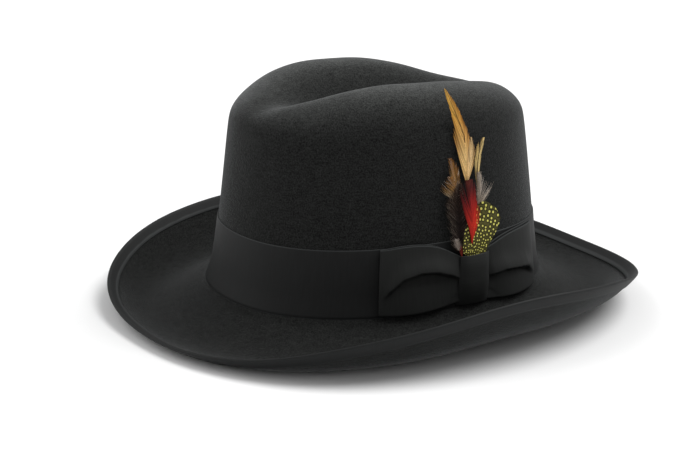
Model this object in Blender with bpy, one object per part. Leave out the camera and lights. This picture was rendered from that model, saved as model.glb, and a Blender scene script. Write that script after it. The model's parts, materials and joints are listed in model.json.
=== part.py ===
"""A stiff felt hat with a lengthwise crease, a curled and bound brim, a band, a flat bow and feathers.

Metres, +Z up. The front of the hat points to -Y and the wearer's left, which carries the bow, to +X.
Angles run round the crown from the front (0) over the wearer's left (90) to the back (180). Heights
count from the break, the line where crown and brim meet, and the finished hat is lifted so that it
stands on z = 0.
"""
from collections import namedtuple
from math import cos, exp, pi, radians, sin, sqrt, tau

import bmesh
import bpy
import numpy as np

MM = 0.001

# Felt
FELT = 2.2 * MM
FELT_EDGE = 1.4 * MM
COLUMNS = 64

# Crown
CROWN_WIDTH = 182.0 * MM
CROWN_LENGTH = 203.6 * MM
CROWN_TOP_WIDTH = 152.6 * MM
CROWN_TOP_LENGTH = 176.6 * MM
CROWN_HEIGHT = 128.0 * MM
SHOULDER_HEIGHT = 97.0 * MM
SHOULDER_WIDTH = 29.0 * MM
CROWN_POWER = 2.2
CROWN_EGG = 0.02
BREAK_WAVE = 1.2 * MM
BREAK_SHIFT = 1.5 * MM

# Brim
BRIM_FRONT = 62.5 * MM
BRIM_BACK = 57.9 * MM
BRIM_SIDE = 61.0 * MM
BRIM_CURL = 21.6 * MM
BRIM_POWER = 2.22
REST_PRESS = 0.4 * MM

# Ribbons
GAP = 0.3 * MM
RIBBON = 1.0 * MM
BINDING_WIDTH = 6.7 * MM
BINDING_UNDER = 7.2 * MM
BAND_HEIGHT = 40.0 * MM
BAND_FLARE = 0.8 * MM
BAND_FLARE_HEIGHT = 18.0 * MM

# Bow
BOW_ANGLE = radians(96.3)
BOW_GAP = 0.4 * MM
BOW_RADIUS = CROWN_WIDTH / 2
FIRST_VANE = GAP + RIBBON + BOW_GAP
FRONT_LOOP_LENGTH = 58.3 * MM
REAR_LOOP_LENGTH = 53.0 * MM
LOOP_PUFF = 3.4 * MM
LOOP_TUCK = 3.0 * MM
LOOP_PINCH_START = 0.60
LOOP_PINCH_END = 0.86
KNOT_WIDTH = 21.5 * MM
KNOT_FOOT = 2.0 * MM
KNOT_HEIGHT = 29.3 * MM
KNOT_RISE = 2.6 * MM
KNOT_LEAN = 3.0 * MM
KNOT_EASE = 0.3 * MM

# Feathers
SPRAY_HEIGHT = 100.0 * MM
SPRAY_TUCK = 3.8 * MM
SPRAY_FOOT = KNOT_FOOT + KNOT_HEIGHT - SPRAY_TUCK
VANE = 0.5 * MM
QUILL = 1.2 * MM

# Row of the brim at one angle: the rim's height as a share of BRIM_CURL, the slope with which the
# brim leaves the crown, and the power of the curl towards the rim.
BrimRow = namedtuple("BrimRow", "angle rim_share slope power")
BRIM = (
    BrimRow(0, -0.463, -0.405, 4.42),
    BrimRow(30, -0.324, -0.459, 4.06),
    BrimRow(60, 0.444, -0.589, 3.24),
    BrimRow(90, 1.000, -0.719, 2.50),
    BrimRow(120, 0.690, -0.774, 2.22),
    BrimRow(150, 0.010, -0.765, 2.30),
    BrimRow(180, -0.260, -0.740, 2.39),
    BrimRow(210, 0.023, -0.765, 2.30),
    BrimRow(240, 0.519, -0.774, 2.22),
    BrimRow(270, 0.760, -0.719, 2.50),
    BrimRow(300, 0.510, -0.589, 3.24),
    BrimRow(330, -0.060, -0.493, 4.06),
)

# Row across the top of the crown, at a share of its half length from front (-1) to back (1): how far
# the two ridges stand from the middle, as a share of the half width, and the heights of the left
# ridge, the right ridge and the crease's floor, as shares of CROWN_HEIGHT.
TopRow = namedtuple("TopRow", "along crest left right floor")
TOP = (
    TopRow(-1.00, 0.16, 0.895, 0.905, 0.890),
    TopRow(-0.75, 0.28, 0.925, 0.930, 0.875),
    TopRow(-0.50, 0.47, 0.980, 0.965, 0.820),
    TopRow(-0.25, 0.54, 1.000, 0.982, 0.775),
    TopRow(0.00, 0.56, 0.992, 0.977, 0.760),
    TopRow(0.25, 0.55, 0.980, 0.963, 0.770),
    TopRow(0.50, 0.50, 0.955, 0.925, 0.810),
    TopRow(0.75, 0.41, 0.925, 0.872, 0.850),
    TopRow(1.00, 0.30, 0.890, 0.860, 0.860),
)

# Row along a bow loop from its outer fold (0) to the knot (1): the heights of its lower and upper
# edge and of the fold that runs along its face, as shares of BAND_HEIGHT, and how far it is puffed
# out there, as a share of LOOP_PUFF.
LoopRow = namedtuple("LoopRow", "along bottom top fold puff")
FRONT_LOOP = (
    LoopRow(0.00, 0.055, 1.00, 0.52, 0.25),
    LoopRow(0.25, 0.040, 1.03, 0.63, 0.85),
    LoopRow(0.50, 0.055, 1.02, 0.67, 1.00),
    LoopRow(0.75, 0.085, 0.94, 0.58, 0.90),
    LoopRow(1.00, 0.120, 0.76, 0.50, 0.70),
)
REAR_LOOP = (
    LoopRow(0.00, 0.060, 1.00, 0.36, 0.10),
    LoopRow(0.25, 0.040, 0.99, 0.47, 0.70),
    LoopRow(0.50, 0.035, 0.97, 0.50, 1.00),
    LoopRow(0.75, 0.045, 0.91, 0.47, 0.90),
    LoopRow(1.00, 0.075, 0.80, 0.42, 0.70),
)

# Row of one feather. Its foot sits behind the knot and its tip stands at (tip_across, tip_up), all
# lengths as shares of SPRAY_HEIGHT measured from the middle of the knot's top edge. The vane covers
# the upper part of the shaft from vane_start, is widest at peak, half as wide as half_width gives,
# and its locks are notched by ragged. sweep is the power with which the shaft leans to its tip.
FeatherRow = namedtuple(
    "FeatherRow",
    "name layer foot_across tip_across tip_up sweep vane_start half_width peak blunt ragged locks",
)
FEATHERS = (
    FeatherRow("hackle_long", 0, -0.010, -0.134, 1.00, 6.5, 0.25, 0.066, 0.58, 0.85, 0.14, 12),
    FeatherRow("hackle_cream", 1, -0.008, 0.030, 0.69, 4.0, 0.52, 0.066, 0.60, 0.55, 0.20, 8),
    FeatherRow("hackle_side", 1, 0.012, 0.155, 0.69, 1.2, 0.50, 0.026, 0.60, 0.80, 0.25, 7),
    FeatherRow("hackle_small", 1, -0.024, -0.125, 0.59, 0.9, 0.52, 0.042, 0.40, 0.70, 0.32, 7),
    FeatherRow("plume_brown", 2, -0.020, -0.105, 0.42, 0.45, 0.06, 0.076, 0.52, 0.60, 0.30, 9),
    FeatherRow("down_grey", 2, 0.014, 0.125, 0.44, 1.1, 0.52, 0.044, 0.50, 0.65, 0.32, 6),
    FeatherRow("feather_red", 4, 0.000, -0.020, 0.455, 1.0, 0.12, 0.064, 0.66, 0.50, 0.14, 9),
    FeatherRow("feather_spotted", 3, -0.014, 0.160, 0.31, 1.0, 0.05, 0.098, 0.56, 0.55, 0.05, 9),
)


def clear_scene():
    for old in list(bpy.data.objects):
        bpy.data.objects.remove(old, do_unlink=True)


def material(name, colour, roughness):
    made = bpy.data.materials.new(name)
    made.use_nodes = True
    shader = made.node_tree.nodes["Principled BSDF"]
    shader.inputs["Base Color"].default_value = (*colour, 1.0)
    shader.inputs["Roughness"].default_value = roughness
    shader.inputs["Metallic"].default_value = 0.0
    return made


def cubic(before, low, high, after, share):
    """Catmull-Rom curve from low (share 0) to high (share 1)."""
    rise = (high - before) / 2
    leave = (after - low) / 2
    a = 2 * (low - high) + rise + leave
    b = 3 * (high - low) - 2 * rise - leave
    return ((a * share + b) * share + rise) * share + low


def round_table(rows, column, angle):
    """A column of a table whose rows stand at equal angles round the hat, read at any angle."""
    place = angle % tau / tau * len(rows)
    first = int(place)
    values = [getattr(rows[(first + k) % len(rows)], column) for k in (-1, 0, 1, 2)]
    return cubic(*values, place - first)


def along_table(rows, column, place):
    """A column of a table whose rows stand at equal steps of their first column."""
    start = rows[0].along
    end = rows[-1].along
    steps = len(rows) - 1
    place = min(max((place - start) / (end - start), 0.0), 1.0) * steps
    first = min(int(place), steps - 1)
    values = [getattr(rows[min(max(first + k, 0), steps)], column) for k in (-1, 0, 1, 2)]
    return cubic(*values, place - first)


def smooth_step(low, high, value):
    share = min(max((value - low) / (high - low), 0.0), 1.0)
    return share * share * (3 - 2 * share)


def oval(half_width, half_length, power, angle):
    """Point of a superellipse in plan, on the ray at this angle."""
    across = sin(angle)
    ahead = cos(angle)
    reach = (abs(across / half_width) ** power + abs(ahead / half_length) ** power) ** (-1 / power)
    return reach * across, -reach * ahead


def crown_point(angle, height, out=0.0):
    """Point on the leaning wall of the crown, or at a distance out of it."""
    share = height / CROWN_HEIGHT
    half_width = (CROWN_WIDTH + (CROWN_TOP_WIDTH - CROWN_WIDTH) * share) / 2 + out
    half_length = (CROWN_LENGTH + (CROWN_TOP_LENGTH - CROWN_LENGTH) * share) / 2 + out
    x, y = oval(half_width, half_length, CROWN_POWER, angle)
    wave = BREAK_WAVE * (1 - smooth_step(BAND_HEIGHT, SHOULDER_HEIGHT, height))
    ahead = BREAK_SHIFT * (1 - smooth_step(0.0, BAND_HEIGHT * 1.4, height))
    return np.array([x * (1 + CROWN_EGG * y / half_length), y - ahead, height - wave * cos(2 * angle)])


def top_height(x, y):
    """Height of the top of the crown: two ridges beside a crease that opens to the front."""
    along = y / (CROWN_TOP_LENGTH / 2)
    crest = along_table(TOP, "crest", along) * CROWN_TOP_WIDTH / 2
    floor = along_table(TOP, "floor", along)
    left = smooth_step(-crest, crest, x)
    ridge = along_table(TOP, "left", along) * left + along_table(TOP, "right", along) * (1 - left)
    away = abs(x) / crest
    if away < 1:
        return CROWN_HEIGHT * (floor + (ridge - floor) * sin(away * pi / 2) ** 2)
    outside = (abs(x) - crest) / (CROWN_TOP_WIDTH / 2 - crest)
    return CROWN_HEIGHT * (ridge - 0.03 * outside**2)


def cap_point(angle, share):
    """Point of the shoulder and top, at a share of the way from the middle to the wall."""
    wall = crown_point(angle, SHOULDER_HEIGHT)
    lean = CROWN_TOP_WIDTH / CROWN_WIDTH + (1 - CROWN_TOP_WIDTH / CROWN_WIDTH) * share
    x = wall[0] * share * lean ** 0.15
    y = wall[1] * share * lean ** 0.15
    reach = sqrt(wall[0] ** 2 + wall[1] ** 2)
    flat = 1 - SHOULDER_WIDTH / reach
    rounding = max((share - flat) / (1 - flat), 0.0)
    lift = max(1 - rounding**2.2, 0.0) ** (1 / 2.2)
    return np.array([x, y, SHOULDER_HEIGHT + (top_height(x, y) - SHOULDER_HEIGHT) * lift])


def rim_plan(angle):
    """Point of the rim in plan."""
    brim = BRIM_FRONT if cos(angle) > 0 else BRIM_BACK
    return oval(CROWN_WIDTH / 2 + BRIM_SIDE, CROWN_LENGTH / 2 + brim, BRIM_POWER, angle)


def brim_point(angle, share, under=0.0):
    """Point of the brim's upper face at a share of the way out, or at a depth under it."""
    start = crown_point(angle, 0.0)
    x, y = rim_plan(angle)
    way = np.array([x - start[0], y - start[1]])
    width = sqrt(way @ way)
    slope = round_table(BRIM, "slope", angle)
    power = round_table(BRIM, "power", angle)
    rise = BRIM_CURL * round_table(BRIM, "rim_share", angle) - start[2] - slope * width
    height = start[2] + slope * width * share + rise * share**power
    steep = slope + power * rise * share ** (power - 1) / width
    tilt = 1 / sqrt(1 + steep**2)
    plan = start[:2] + way * (share + under * steep * tilt / width)
    return np.array([plan[0], plan[1], height - under * tilt]), steep, width


def inner_share(angle, width):
    """Share of the way out that lies this far in from the rim, along the brim's face."""
    _, steep, reach = brim_point(angle, 1.0)
    return 1 - width / (reach * sqrt(1 + steep**2))


def angles():
    return [tau * k / COLUMNS for k in range(COLUMNS)]


def side_point(across, height, out):
    """Place on the left side of the crown, across counted from the middle of the bow to the back."""
    return crown_point(BOW_ANGLE + across / BOW_RADIUS, height, out)


def sheet(name, rows, thickness, finish, wrap=False, middle=None, edge_rows=0, edge_share=1.0):
    """A sheet through rows of points, thickened away from its outer face."""
    mesh = bpy.data.meshes.new(name)
    body = bmesh.new()
    grid = [[body.verts.new(point) for point in row] for row in rows]
    columns = len(rows[0])
    for low, high in zip(grid, grid[1:]):
        for k in range(columns if wrap else columns - 1):
            after = (k + 1) % columns
            body.faces.new((low[k], low[after], high[after], high[k]))
    if middle is not None:
        centre = body.verts.new(middle)
        for k in range(columns):
            body.faces.new((grid[-1][k], grid[-1][(k + 1) % columns], centre))
    body.to_mesh(mesh)
    body.free()
    mesh.shade_smooth()
    mesh.set_sharp_from_angle(angle=radians(50))
    piece = bpy.data.objects.new(name, mesh)
    bpy.context.scene.collection.objects.link(piece)
    mesh.materials.append(finish)
    wall = piece.modifiers.new("wall", "SOLIDIFY")
    wall.thickness = thickness
    wall.offset = -1.0
    wall.use_even_offset = True
    wall.use_quality_normals = True
    if edge_rows:
        group = piece.vertex_groups.new(name="pressed")
        group.add(range(edge_rows * columns), edge_share, "REPLACE")
        group.add(range(edge_rows * columns, len(mesh.vertices)), 1.0, "REPLACE")
        wall.vertex_group = group.name
    return piece


def felt_rows():
    """Rings of the felt's outer face from the rim over the break and the shoulder to the middle."""
    rows = [[brim_point(a, 1.0)[0] for a in angles()]]
    rows.append([brim_point(a, inner_share(a, BINDING_UNDER))[0] for a in angles()])
    for share in (0.83, 0.745, 0.65, 0.55, 0.43, 0.30, 0.15):
        rows.append([brim_point(a, share)[0] for a in angles()])
    for height in (0.0, BAND_HEIGHT, (BAND_HEIGHT + SHOULDER_HEIGHT) / 2):
        rows.append([crown_point(a, height) for a in angles()])
    for share in (1.0, 0.985, 0.95, 0.90, 0.83, 0.74, 0.64, 0.53, 0.42, 0.31, 0.20, 0.10):
        rows.append([cap_point(a, share) for a in angles()])
    return rows


def lowest_underside():
    shares = np.linspace(0.3, 1.0, 36)
    return min(brim_point(a, s, FELT)[0][2] for a in angles() for s in shares)


def make_felt_body():
    black_felt = material("black_felt", (0.012, 0.012, 0.013), 0.95)
    crease = (0.0, 0.0, top_height(0.0, 0.0))
    felt = sheet("felt_body", felt_rows(), FELT, black_felt, True, crease, 2, FELT_EDGE / FELT)
    block_size = 2 * (CROWN_LENGTH + BRIM_FRONT + BRIM_BACK)
    bpy.ops.mesh.primitive_cube_add(size=block_size)
    floor = bpy.context.object
    floor.name = "floor_cutter"
    floor.location.z = lowest_underside() + REST_PRESS - block_size / 2
    floor.hide_render = True
    floor.display_type = "WIRE"
    flat = felt.modifiers.new("resting_flats", "BOOLEAN")
    flat.operation = "DIFFERENCE"
    flat.solver = "EXACT"
    flat.object = floor
    return felt, floor


def make_binding():
    """Ribbon folded over the rim: upper leg, rounded edge, lower leg."""
    black_binding = material("black_binding_ribbon", (0.014, 0.014, 0.015), 0.7)
    lift = GAP + RIBBON
    radius = FELT_EDGE / 2 + lift
    rows = []
    for part in (0.0, 1.0):
        rows.append([brim_point(a, leg_share(a, BINDING_WIDTH, part), -lift)[0] for a in angles()])
    for turn in (40, 90, 140):
        rows.append([edge_point(a, radians(turn), radius) for a in angles()])
    under = FELT_EDGE + lift
    for part in (1.0, 0.0):
        rows.append([brim_point(a, leg_share(a, BINDING_UNDER, part), under)[0] for a in angles()])
    return sheet("brim_binding", rows[::-1], RIBBON, black_binding, True)


def leg_share(angle, width, part):
    """Share of the way out at a part of the binding's leg, from its inner edge to the rim."""
    start = inner_share(angle, width)
    return start + (1 - start) * part


def edge_point(angle, turn, radius):
    """Point of the binding's round edge, turn counted from straight over the felt's edge."""
    middle, steep, _ = brim_point(angle, 1.0, FELT_EDGE / 2)
    over, _, _ = brim_point(angle, 1.0)
    up = (over - middle) / (FELT_EDGE / 2)
    x, y = rim_plan(angle)
    start = crown_point(angle, 0.0)
    way = np.array([x - start[0], y - start[1], 0.0])
    way /= sqrt(way @ way)
    outward = (way + np.array([0.0, 0.0, steep])) / sqrt(1 + steep**2)
    return middle + radius * (up * cos(turn) + outward * sin(turn))


def band_face(height):
    """How far the band's face stands out of the crown: it flares a little towards its lower edge."""
    below = max(1 - height / BAND_FLARE_HEIGHT, 0.0)
    return GAP + RIBBON + BAND_FLARE * below**2


def make_band():
    black_band = material("black_grosgrain", (0.016, 0.016, 0.017), 0.6)
    rows = []
    for height in (GAP, BAND_HEIGHT * 0.2, BAND_FLARE_HEIGHT, BAND_HEIGHT):
        rows.append([crown_point(a, height, band_face(height)) for a in angles()])
    return sheet("hat_band", rows, RIBBON, black_band, True)


def loop_face(row_table, share, level):
    """How far the loop's two layers stand apart at a share along it and a level up it."""
    pinch = 1 - smooth_step(LOOP_PINCH_START, LOOP_PINCH_END, share)
    puff = LOOP_PUFF * along_table(row_table, "puff", share) * pinch
    bottom = along_table(row_table, "bottom", share)
    top = along_table(row_table, "top", share)
    fold = (along_table(row_table, "fold", share) - bottom) / (top - bottom)
    if level > fold:
        return puff * (0.45 + 0.55 * (1 - (level - fold) / (1 - fold)) ** 0.8)
    below = (fold - level) / fold
    return puff * (0.42 + 0.58 * exp(-((below / 0.28) ** 2)) + 0.20 * below**2)


def make_loop(name, row_table, knot_end, outer_end):
    """A flat bow loop: ribbon that runs out over the band, folds and comes back to the knot."""
    black_ribbon = material("black_ribbon_" + name, (0.016, 0.016, 0.017), 0.6)
    back = FIRST_VANE + RIBBON
    levels = (0.0, 0.2, 0.4, 0.52, 0.66, 0.82, 1.0)
    stations = (1.0, 0.84, 0.68, 0.52, 0.36, 0.20, 0.05)
    fold = RIBBON * 0.9
    rows = []
    for level in levels:
        row = [(share, FIRST_VANE) for share in stations]
        row.append((0.0, FIRST_VANE + fold / 2))
        row.append((0.0, back + GAP + loop_face(row_table, 0.0, level) + fold / 2))
        for share in stations[::-1]:
            row.append((share, back + GAP + RIBBON + loop_face(row_table, share, level)))
        points = []
        for share, out in row:
            bottom = along_table(row_table, "bottom", share)
            top = along_table(row_table, "top", share)
            height = BAND_HEIGHT * (bottom + (top - bottom) * level)
            stand = out + band_face(height) - GAP - RIBBON
            points.append(side_point(outer_end + (knot_end - outer_end) * share, height, stand))
        rows.append(points)
    if outer_end > knot_end:
        rows = [row[::-1] for row in rows]
    return sheet(name, rows, RIBBON, black_ribbon)


def make_knot():
    """Ribbon wrapped over the waist of the bow, curved in at its four sides."""
    black_knot = material("black_ribbon_knot", (0.016, 0.016, 0.017), 0.6)
    side = FIRST_VANE + 3 * RIBBON + 2 * GAP + KNOT_EASE
    rows = []
    for level in np.linspace(0.0, 1.0, 7):
        row = []
        for share in np.linspace(-1.0, 1.0, 7):
            across = share * KNOT_WIDTH / 2 + KNOT_LEAN * (level - 0.5)
            ends = 1 - abs(2 * level - 1) ** 6
            out = side + KNOT_RISE * (1 - share**4) * (0.55 + 0.45 * ends)
            height = KNOT_FOOT + KNOT_HEIGHT * level
            row.append(side_point(across, height, out + band_face(height) - GAP - RIBBON))
        rows.append(row)
    return sheet("bow_knot", rows, RIBBON, black_knot)


def vane_width(row, share):
    """Half the feather's width at a share of the way from its foot to its tip."""
    if share <= row.vane_start:
        return QUILL / 2
    place = (share - row.vane_start) / (1 - row.vane_start)
    skew = np.log(0.5) / np.log(row.peak)
    swell = max(sin(pi * min(place, 1.0) ** skew), 0.0) ** row.blunt
    return QUILL / 2 + (row.half_width * SPRAY_HEIGHT - QUILL / 2) * swell


def feather_spine(row, share):
    """Place of the shaft, as across and up from the break."""
    foot = np.array([row.foot_across * SPRAY_HEIGHT, SPRAY_FOOT])
    tip = np.array([row.tip_across, row.tip_up]) * SPRAY_HEIGHT + np.array([0.0, KNOT_FOOT + KNOT_HEIGHT])
    across = foot[0] + (tip[0] - foot[0]) * share**row.sweep
    return np.array([across, foot[1] + (tip[1] - foot[1]) * share])


def make_feather(row, finish):
    """One feather: a quill with a vane of barbs, notched into locks along both edges."""
    out = FIRST_VANE + VANE + row.layer * (VANE + GAP)
    steps = 2 * row.locks
    shares = [row.vane_start * 0.5 * k for k in (0, 1)]
    shares += [row.vane_start + (1 - row.vane_start) * k / steps for k in range(steps + 1)]
    rows = []
    for k, share in enumerate(shares):
        here = feather_spine(row, share)
        step = feather_spine(row, min(share + 0.01, 1.0)) - feather_spine(row, max(share - 0.01, 0.0))
        aside = np.array([step[1], -step[0]]) / sqrt(step @ step)
        width = vane_width(row, share)
        if share > row.vane_start and k % 2:
            width *= 1 - row.ragged
        width = max(width, QUILL / 4)
        line = []
        for edge in (-1.0, 0.0, 1.0):
            across, height = here + aside * width * edge
            line.append(side_point(across, height, out))
        rows.append(line)
    return sheet(row.name, rows, VANE, finish)


def make_feathers():
    finishes = {
        "hackle_long": material("gold_hackle", (0.72, 0.45, 0.16), 0.6),
        "hackle_cream": material("cream_hackle", (0.80, 0.66, 0.40), 0.6),
        "hackle_side": material("pale_gold_hackle", (0.75, 0.55, 0.25), 0.6),
        "hackle_small": material("small_gold_hackle", (0.68, 0.42, 0.18), 0.6),
        "plume_brown": material("brown_plume", (0.10, 0.04, 0.03), 0.8),
        "down_grey": material("grey_down", (0.45, 0.42, 0.40), 0.9),
        "feather_red": material("red_feather", (0.55, 0.02, 0.02), 0.6),
        "feather_spotted": material("spotted_feather", (0.40, 0.40, 0.12), 0.6),
    }
    return [make_feather(row, finishes[row.name]) for row in FEATHERS]


def make_hat():
    clear_scene()
    felt, floor = make_felt_body()
    loop_end = KNOT_WIDTH / 2 - LOOP_TUCK
    pieces = [felt, floor, make_binding(), make_band()]
    pieces.append(make_loop("bow_front_loop", FRONT_LOOP, -loop_end, -FRONT_LOOP_LENGTH))
    pieces.append(make_loop("bow_rear_loop", REAR_LOOP, loop_end, REAR_LOOP_LENGTH))
    pieces.append(make_knot())
    pieces += make_feathers()
    hat = bpy.data.objects.new("hat", None)
    bpy.context.scene.collection.objects.link(hat)
    hat.location = (0.0, (BRIM_FRONT - BRIM_BACK) / 2, -(lowest_underside() + REST_PRESS))
    for piece in pieces:
        piece.parent = hat


make_hat()
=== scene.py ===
"""A black felt hat with a creased crown, a curled and bound brim, grosgrain ribbons and a feather spray.

Metres, +Z up. The front of the hat points to -Y and the wearer's left, with the bow, to +X.
"""
import json
import math
from collections import namedtuple

import bpy
import numpy as np
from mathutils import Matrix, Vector
from mathutils.bvhtree import BVHTree

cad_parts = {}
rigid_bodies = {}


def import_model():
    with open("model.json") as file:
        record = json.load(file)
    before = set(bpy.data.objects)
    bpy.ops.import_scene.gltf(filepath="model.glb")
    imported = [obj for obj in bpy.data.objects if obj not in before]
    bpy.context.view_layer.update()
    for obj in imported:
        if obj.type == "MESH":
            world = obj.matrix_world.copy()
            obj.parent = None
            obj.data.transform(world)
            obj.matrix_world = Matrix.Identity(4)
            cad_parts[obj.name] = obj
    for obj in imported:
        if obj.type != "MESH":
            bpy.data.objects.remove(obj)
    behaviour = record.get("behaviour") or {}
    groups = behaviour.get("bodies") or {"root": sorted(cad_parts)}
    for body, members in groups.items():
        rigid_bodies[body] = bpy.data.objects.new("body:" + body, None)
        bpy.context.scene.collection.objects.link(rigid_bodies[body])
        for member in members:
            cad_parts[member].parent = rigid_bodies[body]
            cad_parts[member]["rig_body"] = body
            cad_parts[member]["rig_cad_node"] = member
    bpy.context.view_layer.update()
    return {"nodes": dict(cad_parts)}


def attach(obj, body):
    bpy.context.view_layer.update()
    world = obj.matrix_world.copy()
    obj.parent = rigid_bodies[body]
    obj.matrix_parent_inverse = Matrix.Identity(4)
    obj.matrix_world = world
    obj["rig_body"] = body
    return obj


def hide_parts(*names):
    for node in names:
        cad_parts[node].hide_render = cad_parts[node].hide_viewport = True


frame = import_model()

# Felt body: crown and brim in one piece. A wool felt hood is steamed, pulled over a wooden block and
# pressed in along the top, its brim is curled, and the dry hat is sheared and brushed round. The
# piece is a copy of the CAD solid, subdivided until it runs as smoothly as pressed felt.

MM = 0.001
WELD = 0.005 * MM
QUAD_BEND = math.radians(40)
QUAD_SKEW = math.radians(60)
FELT_LEVELS = 2

# Painted light: the crown's up-facing top is painted lighter, as lit from above, from one height up to full
# strength at another.
TOP_LIGHT_FROM = 116.0 * MM
TOP_LIGHT_FULL = 146.0 * MM
TOP_LIGHT_GAIN = 2.7

FELT_DARK = "#0a0a0a"
FELT_LIGHT = "#2b2c2b"
FELT_SHEEN = "#a3a5a6"
NAP_SIZE = 0.8 * MM
NAP_WEIGHT = 2.8
NAP_DEPTH = 0.25 * MM
BRUSHED_LENGTH = 5.0 * MM
BRUSHED_HEIGHT = 1.2 * MM
GRAIN_DARK = 1.25
GRAIN_LIGHT = 2.55
PRESS_WAVE = 34.0 * MM
PRESS_DEPTH = 1.0 * MM


def linear(colour):
    """The linear colour of an sRGB hex value."""
    parts = [int(colour[k : k + 2], 16) / 255 for k in (1, 3, 5)]
    return [p / 12.92 if p <= 0.04045 else ((p + 0.055) / 1.055) ** 2.4 for p in parts] + [1.0]


def add(tree, kind, settings=None, inputs=None):
    """A node with its settings, and its inputs set to values or linked to other nodes' outputs."""
    made = tree.nodes.new(kind)
    for name, value in (settings or {}).items():
        setattr(made, name, value)
    for name, value in (inputs or {}).items():
        if isinstance(value, bpy.types.NodeSocket):
            tree.links.new(value, made.inputs[name])
        else:
            made.inputs[name].default_value = value
    return made


def start_material(name, roughness):
    """A new material with its node tree and its shader."""
    made = bpy.data.materials.new(name)
    made.use_nodes = True
    shader = made.node_tree.nodes["Principled BSDF"]
    shader.inputs["Roughness"].default_value = roughness
    return made, made.node_tree, shader


def soft_copy(node, name):
    """A copy of a CAD node that can be shaped: its loose triangles merged and joined into quads."""
    bpy.ops.object.select_all(action="DESELECT")
    piece = frame["nodes"][node].copy()
    piece.data = piece.data.copy()
    piece.name = name
    piece.parent = None
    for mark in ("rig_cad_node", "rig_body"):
        del piece[mark]
    bpy.context.scene.collection.objects.link(piece)
    bpy.context.view_layer.objects.active = piece
    piece.select_set(True)
    bpy.ops.mesh.customdata_custom_splitnormals_clear()
    bpy.ops.object.mode_set(mode="EDIT")
    bpy.ops.mesh.select_all(action="SELECT")
    bpy.ops.mesh.remove_doubles(threshold=WELD)
    bpy.ops.mesh.tris_convert_to_quads(face_threshold=QUAD_BEND, shape_threshold=QUAD_SKEW)
    bpy.ops.object.mode_set(mode="OBJECT")
    piece.data.materials.clear()
    return piece


def subdivide(piece, levels):
    """Smooths the active piece by subdivision and applies it."""
    smooth = piece.modifiers.new("smooth", "SUBSURF")
    smooth.levels = levels
    smooth.render_levels = levels
    bpy.ops.object.modifier_apply(modifier=smooth.name)
    bpy.ops.object.shade_smooth()


felt = soft_copy("felt_body", "felt_shell")
subdivide(felt, FELT_LEVELS)

# Painted light: a share for each point, rising with height and with how far the felt faces up.
painted_top_light = felt.data.attributes.new("painted_top_light", "FLOAT", "POINT")
shares = []
for vertex in felt.data.vertices:
    height = min(max((vertex.co.z - TOP_LIGHT_FROM) / (TOP_LIGHT_FULL - TOP_LIGHT_FROM), 0.0), 1.0)
    shares.append(height * max(vertex.normal.z, 0.0) ** 3)
painted_top_light.data.foreach_set("value", shares)

# Sheared wool felt is matt and deep black, with a grey bloom where it turns away from the eye, a
# short nap and a faint grain brushed round the hat. Wool is some 0.02 mm thick, too fine to show, so
# the nap is drawn as tufts of 0.8 mm. Long, shallow waves are left where the hood was pressed.
felt_look, tree, shader = start_material("sheared wool felt", 1.0)
place = add(tree, "ShaderNodeTexCoord").outputs["Object"]
nap = add(tree, "ShaderNodeTexNoise", inputs={"Vector": place, "Scale": 1 / NAP_SIZE, "Detail": 3.0})
stretch = add(
    tree,
    "ShaderNodeMapping",
    inputs={"Vector": place, "Scale": (1.0, 1.0, BRUSHED_LENGTH / BRUSHED_HEIGHT)},
)
brushed = add(
    tree,
    "ShaderNodeTexNoise",
    inputs={"Vector": stretch.outputs[0], "Scale": 1 / BRUSHED_LENGTH, "Detail": 3.0, "Roughness": 0.6},
)
pressed = add(tree, "ShaderNodeTexNoise", inputs={"Vector": place, "Scale": 1 / PRESS_WAVE, "Detail": 1.0})
grain = add(
    tree,
    "ShaderNodeMath",
    {"operation": "MULTIPLY_ADD"},
    {0: nap.outputs[0], 1: NAP_WEIGHT, 2: brushed.outputs[0]},
)
shade = add(
    tree,
    "ShaderNodeMapRange",
    inputs={"Value": grain.outputs[0], "From Min": GRAIN_DARK, "From Max": GRAIN_LIGHT},
)
tone = add(
    tree,
    "ShaderNodeMix",
    {"data_type": "RGBA"},
    {0: shade.outputs[0], 6: linear(FELT_DARK), 7: linear(FELT_LIGHT)},
)
# Painted light: the up-facing top of the crown is painted lighter in its base colour.
top_light_share = add(tree, "ShaderNodeAttribute", {"attribute_name": "painted_top_light"}).outputs["Fac"]
lift = add(tree, "ShaderNodeMath", {"operation": "MULTIPLY_ADD"}, {0: top_light_share, 1: TOP_LIGHT_GAIN, 2: 1.0})
lighter = add(
    tree,
    "ShaderNodeVectorMath",
    {"operation": "SCALE"},
    {0: tone.outputs[2], "Scale": lift.outputs[0]},
)
tree.links.new(lighter.outputs[0], shader.inputs["Base Color"])
waves = add(
    tree,
    "ShaderNodeBump",
    inputs={"Height": pressed.outputs[0], "Strength": 0.3, "Distance": PRESS_DEPTH},
)
fibres = add(
    tree,
    "ShaderNodeBump",
    inputs={"Height": grain.outputs[0], "Strength": 0.6, "Distance": NAP_DEPTH, "Normal": waves.outputs[0]},
)
tree.links.new(fibres.outputs[0], shader.inputs["Normal"])
shader.inputs["Specular IOR Level"].default_value = 0.1
shader.inputs["Sheen Weight"].default_value = 0.72
shader.inputs["Sheen Roughness"].default_value = 0.3
shader.inputs["Sheen Tint"].default_value = linear(FELT_SHEEN)
felt.data.materials.append(felt_look)
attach(felt, "root")
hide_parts("felt_body")

# Band: black grosgrain, a ribbon with fine ribs across it and a firm woven edge. It is drawn round
# the foot of the crown and sewn there with hidden stitches, and its foot flares over the brim.

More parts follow.
